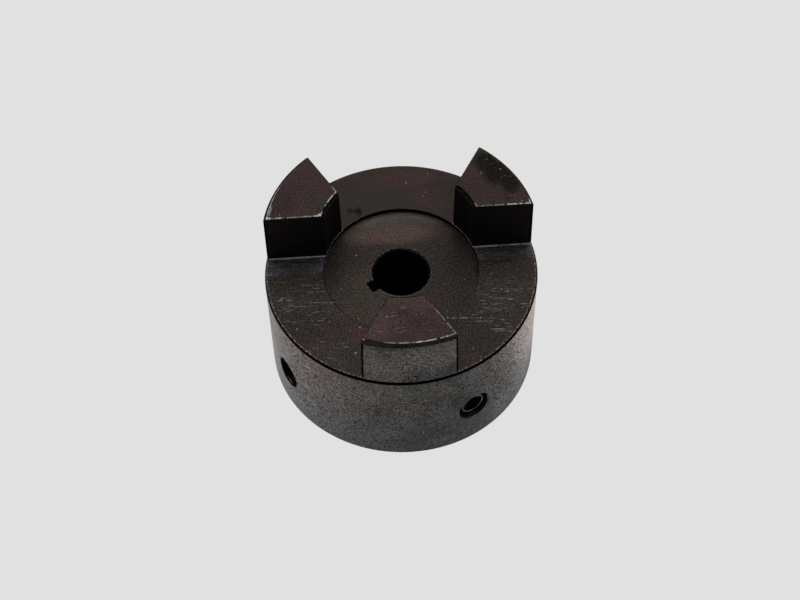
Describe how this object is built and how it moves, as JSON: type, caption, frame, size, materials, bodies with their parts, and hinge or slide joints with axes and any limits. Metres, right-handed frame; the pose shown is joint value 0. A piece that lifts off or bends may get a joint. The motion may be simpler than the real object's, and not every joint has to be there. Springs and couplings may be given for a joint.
{
  "type": "jaw coupling hub",
  "caption": "Round steel hub of a jaw coupling: upright jaws around a shallow recess, keyed bore, and set screws in tapped holes through its side.",
  "frame": {"origin": "centre of the bore on the face at the shaft end, which is the base the hub stands on", "axes": "+Z along the bore's axis from the shaft end to the jaws; one jaw points to -Y"},
  "size_m": [0.0536, 0.0536, 0.0377],
  "materials": {
    "black_oxide_hub": "machined and black oxide coated, satin, with faint straight tool marks",
    "black_screw": "black oxide, satin"
  },
  "bodies": {
    "hub": {"hub": "black_oxide_hub"},
    "key_screw": {"set_screw_key": "black_screw"},
    "side_screw": {"set_screw_side": "black_screw"}
  },
  "joints": [
    {"name": "key_screw_travel", "type": "slide", "parent": "hub", "child": "key_screw", "axis": [-0.8829, -0.4695, 0], "range_m": [-0.0046, 0.01246]},
    {"name": "side_screw_travel", "type": "slide", "parent": "hub", "child": "side_screw", "axis": [0.4695, -0.8829, 0], "range_m": [-0.00789, 0.01081]}
  ]
}
